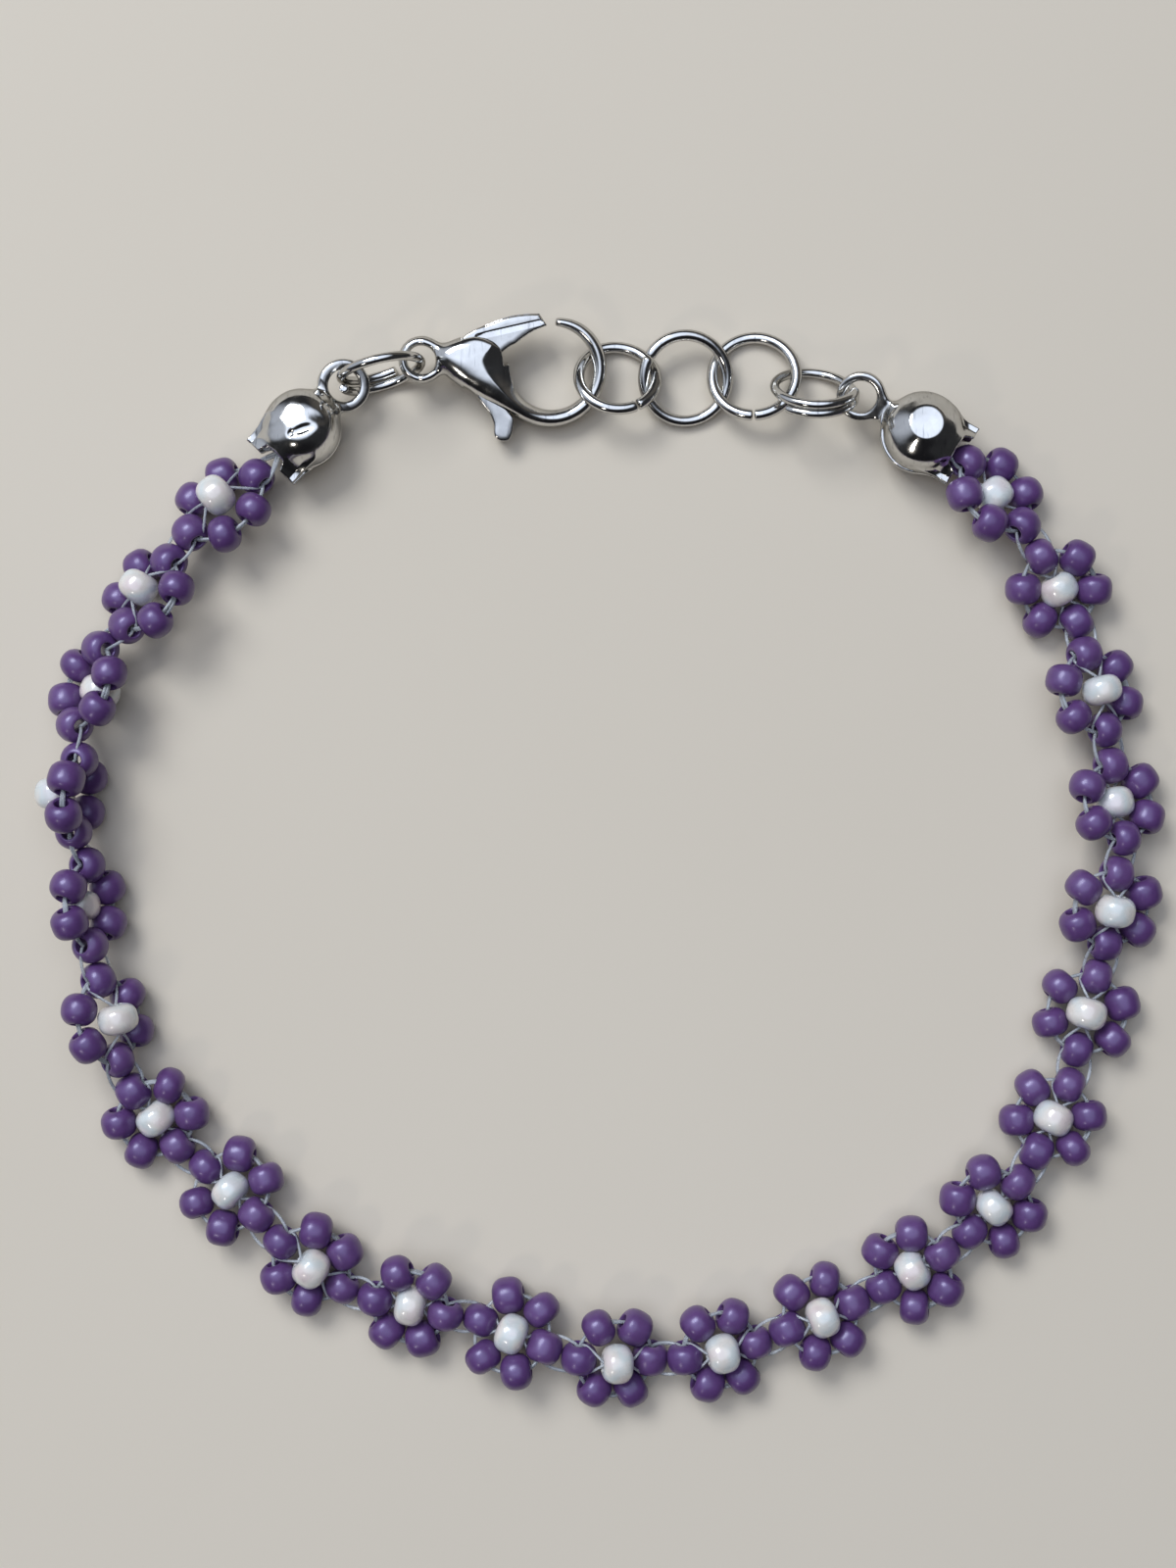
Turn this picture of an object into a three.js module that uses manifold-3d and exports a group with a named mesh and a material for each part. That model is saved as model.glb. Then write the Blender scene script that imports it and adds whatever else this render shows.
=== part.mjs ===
// Daisy-chain bracelet of seed beads with clamshell bead tips, split rings,
// a lobster clasp and three jump rings. Millimetres, +Z up. It lies closed on
// the plane z = 0 with the clasp at +Y, as a flat loop that makes half a twist
// on its -X side.
import * as THREE from 'three';
import { mergeVertices } from 'three/addons/utils/BufferGeometryUtils.js';
import { ParametricGeometry } from 'three/addons/geometries/ParametricGeometry.js';
import Module from 'manifold-3d';

const wasm = await Module();
wasm.setup();

// ---------------------------------------------------------------- dimensions
const BEAD_R = 1.0;            // petal bead, widest radius
const BEAD_HALF = 0.9;         // petal bead, half length along its hole
const BEAD_END_R = 0.72;       // petal bead, radius at its flat ends
const BEAD_SIDES = 8;
const PEARL_R = 1.12;          // centre bead, widest radius
const PEARL_HALF = 0.9;        // centre bead, half length
const PEARL_END_R = 0.8;
const PEARL_SIDES = 8;
const THREAD_R = 0.27;         // bundle of nylon strands between two beads
const REST_R = 1.035;          // height of the lowest bead's centre over the table

const CROWN_R = 1.0;           // flat crowns of a bead tip's two cups
const CUP_Z = 2.12;            // half height of the ball, crown to seam
const CUP_WALL = 0.34;
const TAB_HALF = 1.84;         // half width across the mouth's two tabs
const TAB_END = 2.72;          // tab edge from the ball's centre
const TAB_T = 0.62;            // two tabs of sheet, one on the other
const LOOP_T = 0.5;            // thickness of a bead tip's loop

const RING_WIRE_R = 0.33;      // jump ring wire
const SPLIT_WIRE_R = 0.27;     // split ring wire
const SPLIT_R = 2.33;          // split ring, centre line radius
const WIRE_SIDES = 6;

const EYE_R = 1.03;            // clasp eye, centre line radius
const EYE_W = 0.23;            // clasp eye, half width of its section
const EYE_H = 0.42;            // clasp eye, half height of its section
const LEVER_T = 1.16;          // lever thickness
const LEVER_GAP = 0.09;        // clearance all round the lever in its slot
const LEVER_OPEN = 22;         // degrees the lever swings inward
const PIN_R = 0.46;            // lever's rivet
const PIN_HOLE_R = 0.55;
const PIN_SIDES = 14;

// ------------------------------------------------------------------- tables
// One row per flower, from the left bead tip round to the right one.
// x, y: middle of the ring of six; head, roll, pitch: degrees; half: middle to
// first and last petal; step: spacing of neighbours along the ring; lift: pearl
// out of the ring's plane; side: pearl across the strap.
const FLOWERS = [
//  no      x       y    head    roll  pitch  half  step   lift   side
  [ 1, -21.79,  20.57, -139.0, -151.7,   4.4, 2.50, 2.19, -1.00,  0.07],
  [ 2, -26.05,  15.39, -122.5, -138.4,   3.9, 2.20, 2.22, -0.80,  0.02],
  [ 3, -29.55,  10.03, -107.7, -134.6,   4.1, 2.32, 2.12,  0.90,  0.03],
  [ 4, -30.06,   3.74,  -94.9,  -81.9,  -2.3, 2.07, 2.07, -1.29, -0.03],
  [ 5, -29.43,  -2.54,  -86.6,  -59.9,   5.4, 2.31, 2.06, -0.68,  0.01],
  [ 6, -28.40,  -9.19,  -77.1,  -43.3,  -3.0, 2.37, 2.11,  0.98,  0.07],
  [ 7, -25.84, -14.98,  -52.8,    4.3,  -7.3, 2.04, 2.10,  0.20,  0.08],
  [ 8, -21.41, -19.18,  -41.3,   -0.2,  10.4, 2.05, 2.13,  0.35,  0.05],
  [ 9, -16.75, -23.44,  -38.4,    2.4,  -9.9, 2.24, 2.11,  0.68, -0.02],
  [10, -11.02, -25.83,  -12.0,   16.2,   1.9, 2.08, 2.14,  0.05,  0.08],
  [11,  -5.10, -27.41,  -21.3,  -11.7,   8.3, 2.01, 2.11,  0.40, -0.04],
  [12,   0.82, -28.86,   -2.1,    9.5,  -9.9, 2.09, 2.13,  0.88,  0.04],
  [13,   6.95, -28.42,   10.3,    6.9,  -8.1, 2.09, 2.10,  0.76,  0.05],
  [14,  12.74, -26.45,   20.4,   -6.6,  -6.9, 2.05, 2.08,  0.84, -0.04],
  [15,  18.14, -23.78,   31.9,   -0.2,  10.6, 1.98, 2.11,  0.20,  0.06],
  [16,  22.81, -20.09,   46.7,    9.8,   4.2, 2.00, 2.14,  0.10,  0.03],
  [17,  26.26, -14.96,   63.2,   -7.6,  -3.5, 2.13, 2.09,  0.36,  0.00],
  [18,  28.26,  -8.89,   74.7,   -1.0,  -1.7, 2.18, 2.17,  0.77,  0.14],
  [19,  29.55,  -2.78,   82.3,   15.7,   7.4, 2.05, 2.16,  0.78,  0.13],
  [20,  29.88,   3.40,   98.7,   23.3,  -7.3, 2.14, 2.14, -0.31,  0.00],
  [21,  28.60,   9.75,  104.8,   22.2,  -1.2, 2.25, 2.16,  0.69, -0.04],
  [22,  26.58,  15.73,  121.0,   -5.7,  11.4, 2.19, 2.11,  0.05,  0.00],
  [23,  22.80,  21.17,  130.3,   29.8,  -3.0, 2.40, 2.18, -0.13,  0.00],
].map(([no, x, y, head, roll, pitch, half, step, lift, side]) =>
  ({ no, x, y, head, roll, pitch, half, step, lift, side }));

// Bead tips: x, y of the ball, heading from the ball to its mouth, the ball's
// radius at its seam, distance to the loop, the loop's outer and hole radius and
// its roll, and the half width of the notch between the mouth's tabs.
const BEAD_TIPS = [
//  name     x       y      head   cup  loop  outer  hole  roll  notch
  ['left', -17.18,  24.93,  226.5, 2.15, 3.43, 1.52, 0.88,  -18, 0.86],
  ['right', 18.56,  24.69,  -31.0, 2.26, 4.10, 1.42, 0.88,   24, 1.10],
].map(([name, x, y, head, cup, loop, outer, hole, roll, notch]) =>
  ({ name, x, y, head, cup, loop, outer, hole, roll, notch }));

// Jump rings, from the clasp's hook to the right split ring: centre, centre-line
// radius, unit normal and the angle of the cut.
const JUMP_RINGS = [
//  no     x      y     z     r       nx     ny    nz    cut
  [1,    0.98, 27.99, 1.38, 2.24,  0.051, 0.470, 0.881, -60],
  [2,    4.96, 28.03, 1.05, 2.47,  0.098, -0.271, 0.957, 150],
  [3,    8.95, 28.15, 1.07, 2.45, -0.109, 0.277, 0.955, -92],
].map(([no, x, y, z, r, nx, ny, nz, cut]) => ({ no, x, y, z, r, nx, ny, nz, cut }));

// Split rings: centre, heading of the plane, lean from upright, first angle of
// the coil, the angle it turns through and its axial travel per turn.
const SPLIT_RINGS = [
//  name      x      y     z    head   lean   from  turn  lead
  ['left',  -12.60, 28.18, 2.62, 16.0,   4.0, -71, -474, 0.62],
  ['right',  12.36, 27.12, 2.19, -3.0, -36.1, 14, 480, 0.57],
].map(([name, x, y, z, head, lean, from, turn, lead]) =>
  ({ name, x, y, z, head, lean, from, turn, lead }));

// Clasp casting, as sections on rays from the middle of its round opening, from
// the hook's tip round below to the shoulder by the eye.
const CAST = [
//  angle  inner  outer  half thickness
  [  86.0, 2.42, 2.80, 0.22],
  [  80.0, 2.39, 2.88, 0.36],
  [  55.0, 2.38, 3.05, 0.46],
  [  25.0, 2.38, 3.15, 0.50],
  [   0.0, 2.39, 3.20, 0.52],
  [ -30.0, 2.39, 3.24, 0.54],
  [ -60.0, 2.40, 3.32, 0.60],
  [ -90.0, 2.41, 3.40, 0.70],
  [-112.0, 2.41, 3.45, 0.84],
  [-130.0, 2.41, 3.58, 1.00],
  [-146.0, 2.40, 3.98, 1.14],
  [-158.0, 2.40, 4.62, 1.22],
  [-168.0, 2.40, 5.35, 1.26],
  [-176.0, 2.42, 5.98, 1.26],
  [-184.0, 2.45, 6.44, 1.24],
  [-190.0, 2.52, 6.28, 1.20],
  [-196.0, 2.66, 5.68, 1.10],
  [-201.0, 2.92, 5.06, 0.96],
  [-205.0, 3.45, 4.30, 0.60],
].map(([angle, inner, outer, thick]) => ({ angle, inner, outer, thick }));
const CAST_AT = { x: -2.82, y: 28.55, z: 1.57, roll: 12.9, pitch: 3.5 };
// Eye, the flat web that joins it to the shoulder, and the lever's rivet, from
// the middle of the opening.
const EYE_AT = { x: -7.52, y: 0.37 };
const EYE_WEB = [[-7.25, 1.46], [-6.05, 1.05], [-6.05, -0.15], [-7.25, -0.74]];
const PIVOT_AT = { x: -4.15, y: 0.0 };

// Lever outline about the middle of the opening: gate, root in the slot, tab.
const LEVER = [
//    x      y
  [ -0.31,  2.41], [ -0.75,  3.06], [ -1.62,  3.02], [ -2.49,  2.88],
  [ -3.50,  2.52], [ -4.66,  2.01], [ -5.20,  1.55], [ -5.14,  0.80],
  [ -4.86, -0.50], [ -4.22, -1.82], [ -3.65, -2.56], [ -3.36, -3.20],
  [ -3.32, -3.86], [ -3.00, -4.18], [ -2.55, -4.18], [ -2.34, -3.93],
  [ -2.23, -3.50], [ -2.20, -2.91], [ -2.55, -2.42], [ -3.10, -1.45],
  [ -3.34, -0.30], [ -3.10,  0.60], [ -2.49,  1.17], [ -2.12,  1.36],
  [ -1.76,  1.65], [ -1.18,  2.04], [ -0.67,  2.27],
];

// ------------------------------------------------------------------- helpers
const rad = THREE.MathUtils.degToRad;
const V = (x = 0, y = 0, z = 0) => new THREE.Vector3(x, y, z);

function solid(geometry) {
  const g = geometry.clone();
  g.deleteAttribute('normal');
  g.deleteAttribute('uv');
  const m = mergeVertices(g, 1e-4);
  const p = m.attributes.position.array;
  const src = m.index.array;
  const tri = [];
  for (let i = 0; i < src.length; i += 3) {
    const [a, b, c] = [src[i], src[i + 1], src[i + 2]];
    if (a !== b && b !== c && c !== a) tri.push(a, b, c);
  }
  return new wasm.Manifold(new wasm.Mesh({
    numProp: 3, vertProperties: new Float32Array(p), triVerts: new Uint32Array(tri) }));
}

function fromSolid(m) {
  const mesh = m.getMesh();
  const g = new THREE.BufferGeometry();
  g.setAttribute('position', new THREE.BufferAttribute(new Float32Array(mesh.vertProperties), 3));
  g.setIndex(new THREE.BufferAttribute(new Uint32Array(mesh.triVerts), 1));
  g.computeVertexNormals();
  return g;
}

// A lathe about +Z from rows of [radius, height], both ends on the axis.
function turned(rows, sides) {
  const g = new THREE.LatheGeometry(rows.map(([r, z]) => new THREE.Vector2(r, z)), sides);
  g.rotateX(Math.PI / 2);
  return g;
}

function barrel(r, half, endR, sides) {
  return turned([[0, -half], [endR, -half], [r, 0], [endR, half], [0, half]], sides);
}

// Turns +Z onto a direction and moves to a point.
function along(g, dir, at) {
  const q = new THREE.Quaternion().setFromUnitVectors(V(0, 0, 1), dir.clone().normalize());
  return g.clone().applyQuaternion(q).translate(at.x, at.y, at.z);
}

// A prism of polygon section along a curve.
function wire(curve, r, steps, sides = WIRE_SIDES) {
  const section = new THREE.Shape(Array.from({ length: sides }, (_, i) => {
    const a = (2 * Math.PI * i) / sides;
    return new THREE.Vector2(r * Math.cos(a), r * Math.sin(a));
  }));
  return new THREE.ExtrudeGeometry(section, { steps, bevelEnabled: false, extrudePath: curve });
}

class Coil extends THREE.Curve {
  constructor(centre, ux, uy, r, from, turn, lead) {
    super();
    Object.assign(this, { centre, ux, uy, r, from, turn, lead });
    this.axis = ux.clone().cross(uy);
  }
  getPoint(t, target = V()) {
    const a = this.from + t * this.turn;
    const rise = (t - 0.5) * (Math.abs(this.turn) / (2 * Math.PI)) * this.lead;
    return target.copy(this.centre)
      .addScaledVector(this.ux, this.r * Math.cos(a))
      .addScaledVector(this.uy, this.r * Math.sin(a))
      .addScaledVector(this.axis, rise);
  }
  getPointAt(t, target) { return this.getPoint(t, target); }
  getTangentAt(t, target) { return this.getTangent(t, target); }
}

const group = new THREE.Group();
function add(name, geometry, color, roughness, metalness) {
  const mesh = new THREE.Mesh(geometry,
    new THREE.MeshStandardMaterial({ color, roughness, metalness }));
  mesh.name = name;
  group.add(mesh);
  return mesh;
}
const MAUVE = 0x68486c;
const PEARL = 0xe6e2e4;
const SILVER = 0xc9c9c6;
const two = (n) => String(n).padStart(2, '0');

// ------------------------------------------------------------------- flowers
const petal = barrel(BEAD_R, BEAD_HALF, BEAD_END_R, BEAD_SIDES);
const pearl = fromSolid(solid(barrel(PEARL_R, PEARL_HALF, PEARL_END_R, PEARL_SIDES)));

function flowerFrame(f) {
  const h = rad(f.head), p = rad(f.pitch), ro = rad(f.roll);
  const u = V(Math.cos(h) * Math.cos(p), Math.sin(h) * Math.cos(p), Math.sin(p));
  const left = V(-Math.sin(h), Math.cos(h), 0);
  const up = u.clone().cross(left);
  const v = left.clone().multiplyScalar(Math.cos(ro)).addScaledVector(up, Math.sin(ro));
  const n = u.clone().cross(v);
  const c = f.step / 2;
  const b = Math.sqrt(f.step ** 2 - (f.half - c) ** 2);
  // petal 0 joins the piece before, petal 3 the piece after
  const seats = [[-f.half, 0], [-c, b], [c, b], [f.half, 0], [c, -b], [-c, -b]];
  const rel = seats.map(([a, w]) => V().addScaledVector(u, a).addScaledVector(v, w));
  const z = REST_R - Math.min(...rel.map((r) => r.z));
  const centre = V(f.x, f.y, z);
  const at = rel.map((r) => r.add(centre));
  return { u, v, n, at, centre };
}

for (const f of FLOWERS) {
  const { u, v, n, at, centre } = flowerFrame(f);
  const holes = at.map((p, i) => {
    if (i === 0) return v.clone();
    if (i === 3) return v.clone().negate();
    return at[(i + 1) % 6].clone().sub(at[(i + 5) % 6]).normalize();
  });
  let ring = null;
  at.forEach((p, i) => {
    const bead = solid(along(petal, holes[i], p));
    ring = ring ? ring.add(bead) : bead;
  });
  at.forEach((p, i) => {
    const q = at[(i + 1) % 6];
    const d = q.clone().sub(p);
    const len = d.length() * 0.62;
    const tie = new THREE.CylinderGeometry(THREAD_R, THREAD_R, len, 3).rotateX(Math.PI / 2);
    ring = ring.add(solid(along(tie, d, p.clone().lerp(q, 0.5))));
  });
  add(`petals_${two(f.no)}`, fromSolid(ring), MAUVE, 0.38, 0.0);
  const seat = centre.clone().addScaledVector(n, f.lift).addScaledVector(v, f.side);
  add(`pearl_${two(f.no)}`, along(pearl, u, seat), PEARL, 0.22, 0.0);
}

// ----------------------------------------------------------------- bead tips
for (const t of BEAD_TIPS) {
  const ball = solid(turned([[0, -CUP_Z], [CROWN_R, -CUP_Z], [0.78 * t.cup, -1.46],
    [0.955 * t.cup, -0.66], [t.cup, 0], [0.955 * t.cup, 0.66], [0.78 * t.cup, 1.46],
    [CROWN_R, CUP_Z], [0, CUP_Z]], 16));
  const w = CUP_WALL;
  const hollow = solid(turned([[0, w - CUP_Z], [CROWN_R - 0.1, w - CUP_Z], [0.75 * t.cup, -0.9],
    [t.cup - w, 0], [0.75 * t.cup, 0.9], [CROWN_R - 0.1, CUP_Z - w], [0, CUP_Z - w]], 12));
  const tabs = new THREE.Shape([[0.9, -TAB_HALF], [TAB_END, -TAB_HALF], [TAB_END, TAB_HALF],
    [0.9, TAB_HALF]].map(([x, y]) => new THREE.Vector2(x, y)));
  const plate = solid(new THREE.ExtrudeGeometry(tabs, { depth: TAB_T, bevelEnabled: false })
    .translate(0, 0, -TAB_T / 2));
  const notch = solid(new THREE.BoxGeometry(1.6, 2 * t.notch, 1.3).translate(TAB_END - 0.2, 0, 0));
  const neck = solid(new THREE.BoxGeometry(t.loop - t.outer - 1.7 + 0.35, 1.1, LOOP_T)
    .rotateX(rad(t.roll) * 0.6).translate(-(1.7 + t.loop - t.outer + 0.35) / 2, 0, 0));
  const disc = solid(new THREE.CylinderGeometry(t.outer, t.outer, LOOP_T, 20)
    .rotateX(Math.PI / 2 + rad(t.roll)).translate(-t.loop, 0, 0));
  const hole = solid(new THREE.CylinderGeometry(t.hole, t.hole, 2, 16)
    .rotateX(Math.PI / 2 + rad(t.roll)).translate(-t.loop, 0, 0));
  const tip = ball.add(plate).add(neck).add(disc).subtract(hollow).subtract(notch).subtract(hole);
  const mesh = add(`clam_tip_${t.name}`, fromSolid(tip), SILVER, 0.22, 1.0);
  mesh.position.set(t.x, t.y, CUP_Z);
  mesh.rotation.z = rad(t.head);
}

// --------------------------------------------------------------- split rings
for (const s of SPLIT_RINGS) {
  const h = rad(s.head), l = rad(s.lean);
  const ux = V(Math.cos(h), Math.sin(h), 0);
  const uy = V(-Math.sin(h) * Math.sin(l), Math.cos(h) * Math.sin(l), Math.cos(l));
  const coil = new Coil(V(s.x, s.y, s.z), ux, uy, SPLIT_R, rad(s.from), rad(s.turn), s.lead);
  add(`split_ring_${s.name}`, wire(coil, SPLIT_WIRE_R, 30), SILVER, 0.22, 1.0);
}

// ---------------------------------------------------------------- jump rings
for (const r of JUMP_RINGS) {
  const n = V(r.nx, r.ny, r.nz).normalize();
  const ux = V(1, 0, 0).addScaledVector(n, -n.x).normalize();
  const uy = n.clone().cross(ux);
  const slit = 0.05 / r.r;
  const arc = new Coil(V(r.x, r.y, r.z), ux, uy, r.r, rad(r.cut) + slit, 2 * Math.PI - 2 * slit, 0);
  add(`extender_ring_${r.no}`, wire(arc, RING_WIRE_R, 26), SILVER, 0.2, 1.0);
}

// --------------------------------------------------------------------- clasp
const castRows = CAST;
function castSection(t) {
  const s = t * (castRows.length - 1);
  const i = Math.min(castRows.length - 2, Math.floor(s));
  const k = s - i, a = castRows[i], b = castRows[i + 1];
  const mix = (key) => a[key] + (b[key] - a[key]) * k;
  return { angle: mix('angle'), inner: mix('inner'), outer: mix('outer'), thick: mix('thick') };
}
const CAST_SIDES = 10;
const castStacks = castRows.length + 1;
const casting = new ParametricGeometry((u, v, target) => {
  const row = Math.round(v * castStacks);
  const end = row === 0 || row === castStacks;
  const s = castSection(Math.min(1, Math.max(0, (row - 1) / (castRows.length - 1))));
  const mid = (s.inner + s.outer) / 2, half = (s.outer - s.inner) / 2;
  const a = 2 * Math.PI * u;
  const k = end ? 0 : 1;
  const r = mid + k * half * Math.cos(a), z = k * s.thick * Math.sin(a);
  const g = rad(s.angle);
  target.set(r * Math.cos(g), r * Math.sin(g), z);
}, CAST_SIDES, castStacks);

function prism(points, depth) {
  const shape = new THREE.Shape(points.map(([x, y]) => new THREE.Vector2(x, y)));
  return new THREE.ExtrudeGeometry(shape, { depth, bevelEnabled: false }).translate(0, 0, -depth / 2);
}

// Offsets a closed outline outward by moving each corner along its bisector.
function grown(points, by) {
  const n = points.length;
  let area = 0;
  points.forEach(([x, y], i) => { const [p, q] = points[(i + 1) % n]; area += x * q - p * y; });
  const s = Math.sign(area);
  return points.map(([x, y], i) => {
    const [px, py] = points[(i + n - 1) % n], [qx, qy] = points[(i + 1) % n];
    const e1 = new THREE.Vector2(x - px, y - py).normalize();
    const e2 = new THREE.Vector2(qx - x, qy - y).normalize();
    const b = new THREE.Vector2(e1.y + e2.y, -e1.x - e2.x);
    const k = by / Math.max(0.35, (1 + e1.dot(e2)) / 2);
    return [x + (s * b.x * k) / 2, y + (s * b.y * k) / 2];
  });
}

const pivot = V(PIVOT_AT.x, PIVOT_AT.y, 0);
const turnAbout = (g, deg) => g.clone().translate(-pivot.x, -pivot.y, 0)
  .rotateZ(rad(deg)).translate(pivot.x, pivot.y, 0);

const eyeRing = new THREE.LatheGeometry([
  [EYE_R - EYE_W, 0], [EYE_R - EYE_W * 0.5, -EYE_H], [EYE_R + EYE_W * 0.5, -EYE_H],
  [EYE_R + EYE_W, 0], [EYE_R + EYE_W * 0.5, EYE_H], [EYE_R - EYE_W * 0.5, EYE_H],
  [EYE_R - EYE_W, 0]].map(([r, z]) => new THREE.Vector2(r, z)), 18)
  .rotateX(Math.PI / 2).translate(EYE_AT.x, EYE_AT.y, 0);

const swept = prism(grown(LEVER, LEVER_GAP), LEVER_T + 2 * LEVER_GAP);
const web = prism(EYE_WEB, 2 * EYE_H * 0.8);
const eyeHole = new THREE.CylinderGeometry(EYE_R - EYE_W, EYE_R - EYE_W, 2, 18)
  .rotateX(Math.PI / 2).translate(EYE_AT.x, EYE_AT.y, 0);
let body = solid(casting).add(solid(eyeRing)).add(solid(web).subtract(solid(eyeHole)));
for (const deg of [0, LEVER_OPEN / 2, LEVER_OPEN]) body = body.subtract(solid(turnAbout(swept, -deg)));
const pin = new THREE.CylinderGeometry(PIN_R, PIN_R, 2.1, PIN_SIDES).rotateX(Math.PI / 2)
  .translate(pivot.x, pivot.y, 0);
body = body.add(solid(pin));
const pinHole = new THREE.CylinderGeometry(PIN_HOLE_R, PIN_HOLE_R, 3, PIN_SIDES).rotateX(Math.PI / 2)
  .translate(pivot.x, pivot.y, 0);
const lever = solid(prism(LEVER, LEVER_T)).subtract(solid(pinHole));

for (const [name, m] of [['clasp_body', body], ['clasp_lever', lever]]) {
  const mesh = add(name, fromSolid(m), SILVER, 0.16, 1.0);
  mesh.position.set(CAST_AT.x, CAST_AT.y, CAST_AT.z);
  mesh.rotation.set(rad(CAST_AT.roll), rad(CAST_AT.pitch), 0, 'YXZ');
}

// The origin is the middle of the bounding box's lower face.
group.updateMatrixWorld(true);
const box = new THREE.Box3().setFromObject(group, true);
group.position.set(-(box.min.x + box.max.x) / 2, -(box.min.y + box.max.y) / 2, -box.min.z);
group.updateMatrixWorld(true);

export default group;
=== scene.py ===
import math
import random

import bpy
import numpy as np
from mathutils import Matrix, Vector


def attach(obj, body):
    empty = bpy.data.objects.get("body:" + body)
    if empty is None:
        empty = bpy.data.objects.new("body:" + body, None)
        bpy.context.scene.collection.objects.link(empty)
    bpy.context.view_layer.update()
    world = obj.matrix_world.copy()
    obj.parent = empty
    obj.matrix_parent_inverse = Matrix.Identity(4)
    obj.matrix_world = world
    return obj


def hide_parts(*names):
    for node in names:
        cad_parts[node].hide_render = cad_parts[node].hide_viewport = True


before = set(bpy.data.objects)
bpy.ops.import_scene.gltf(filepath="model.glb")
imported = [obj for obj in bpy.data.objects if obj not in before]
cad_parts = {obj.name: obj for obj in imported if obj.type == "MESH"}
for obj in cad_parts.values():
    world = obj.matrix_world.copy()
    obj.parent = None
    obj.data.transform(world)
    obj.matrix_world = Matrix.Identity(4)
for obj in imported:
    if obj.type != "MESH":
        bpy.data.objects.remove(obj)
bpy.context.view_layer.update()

SHIFT = np.array([-0.12267, 0.04957, 0.00955])   # mm, table frame to CAD frame
rng = random.Random(11)
R3 = math.sqrt(3)

# ------------------------------------------------------------------ camera
PX = 0.0575                                       # mm on the floor per pixel
cam_data = bpy.data.cameras.new("view_camera")
cam_data.sensor_fit = "AUTO"
cam_data.sensor_width = 36.0
cam_data.lens = 36.0 * 130.0 / (1600 * PX)
cam_data.clip_start = 0.005
cam_data.clip_end = 5.0
cam = bpy.data.objects.new("view_camera", cam_data)
cam.location = (-0.000841, 0.004477, 0.130)
bpy.context.scene.collection.objects.link(cam)
bpy.context.scene.camera = cam


# --------------------------------------------------------------- materials
def material(name):
    m = bpy.data.materials.new(name)
    m.use_nodes = True
    nt = m.node_tree
    nt.nodes.clear()
    out = nt.nodes.new("ShaderNodeOutputMaterial")
    bsdf = nt.nodes.new("ShaderNodeBsdfPrincipled")
    nt.links.new(bsdf.outputs["BSDF"], out.inputs["Surface"])
    return m, nt, bsdf


def node(nt, kind, **values):
    n = nt.nodes.new(kind)
    for key, value in values.items():
        if key in n.inputs:
            n.inputs[key].default_value = value
        else:
            setattr(n, key, value)
    return n


def scaled_coords(nt, scale):
    tc = nt.nodes.new("ShaderNodeTexCoord")
    mp = nt.nodes.new("ShaderNodeMapping")
    mp.inputs["Scale"].default_value = scale
    nt.links.new(tc.outputs["Object"], mp.inputs["Vector"])
    return mp.outputs["Vector"]


def noise(nt, scale, detail=2.0, rough=0.5, stretch=(1, 1, 1)):
    n = nt.nodes.new("ShaderNodeTexNoise")
    n.inputs["Scale"].default_value = scale
    n.inputs["Detail"].default_value = detail
    n.inputs["Roughness"].default_value = rough
    nt.links.new(scaled_coords(nt, stretch), n.inputs["Vector"])
    return n.outputs["Fac"]


def ramp(nt, source, stops):
    r = nt.nodes.new("ShaderNodeValToRGB")
    el = r.color_ramp.elements
    while len(el) < len(stops):
        el.new(0.5)
    for e, (at, colour) in zip(el, stops):
        e.position = at
        e.color = (*colour, 1.0)
    nt.links.new(source, r.inputs["Fac"])
    return r.outputs["Color"]


def spread(nt, source, lo, hi, a=0.3, b=0.7):
    m = nt.nodes.new("ShaderNodeMapRange")
    m.inputs["From Min"].default_value = a
    m.inputs["From Max"].default_value = b
    m.inputs["To Min"].default_value = lo
    m.inputs["To Max"].default_value = hi
    nt.links.new(source, m.inputs["Value"])
    return m.outputs["Result"]


def blend_colour(nt, fac, a, b, mode="MIX"):
    m = nt.nodes.new("ShaderNodeMix")
    m.data_type = "RGBA"
    m.blend_type = mode
    for value, name in ((fac, "Factor"), (a, "A"), (b, "B")):
        socket = next(s for s in m.inputs if s.name == name and
                      (s.type == "RGBA" if name != "Factor" else s.type == "VALUE"))
        if isinstance(value, (int, float)):
            socket.default_value = value
        elif isinstance(value, tuple):
            socket.default_value = (*value, 1.0)
        else:
            nt.links.new(value, socket)
    return next(s for s in m.outputs if s.type == "RGBA")


def bump(nt, bsdf, source, distance, strength):
    b = nt.nodes.new("ShaderNodeBump")
    b.inputs["Distance"].default_value = distance
    b.inputs["Strength"].default_value = strength
    nt.links.new(source, b.inputs["Height"])
    nt.links.new(b.outputs["Normal"], bsdf.inputs["Normal"])
    return b


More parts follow.
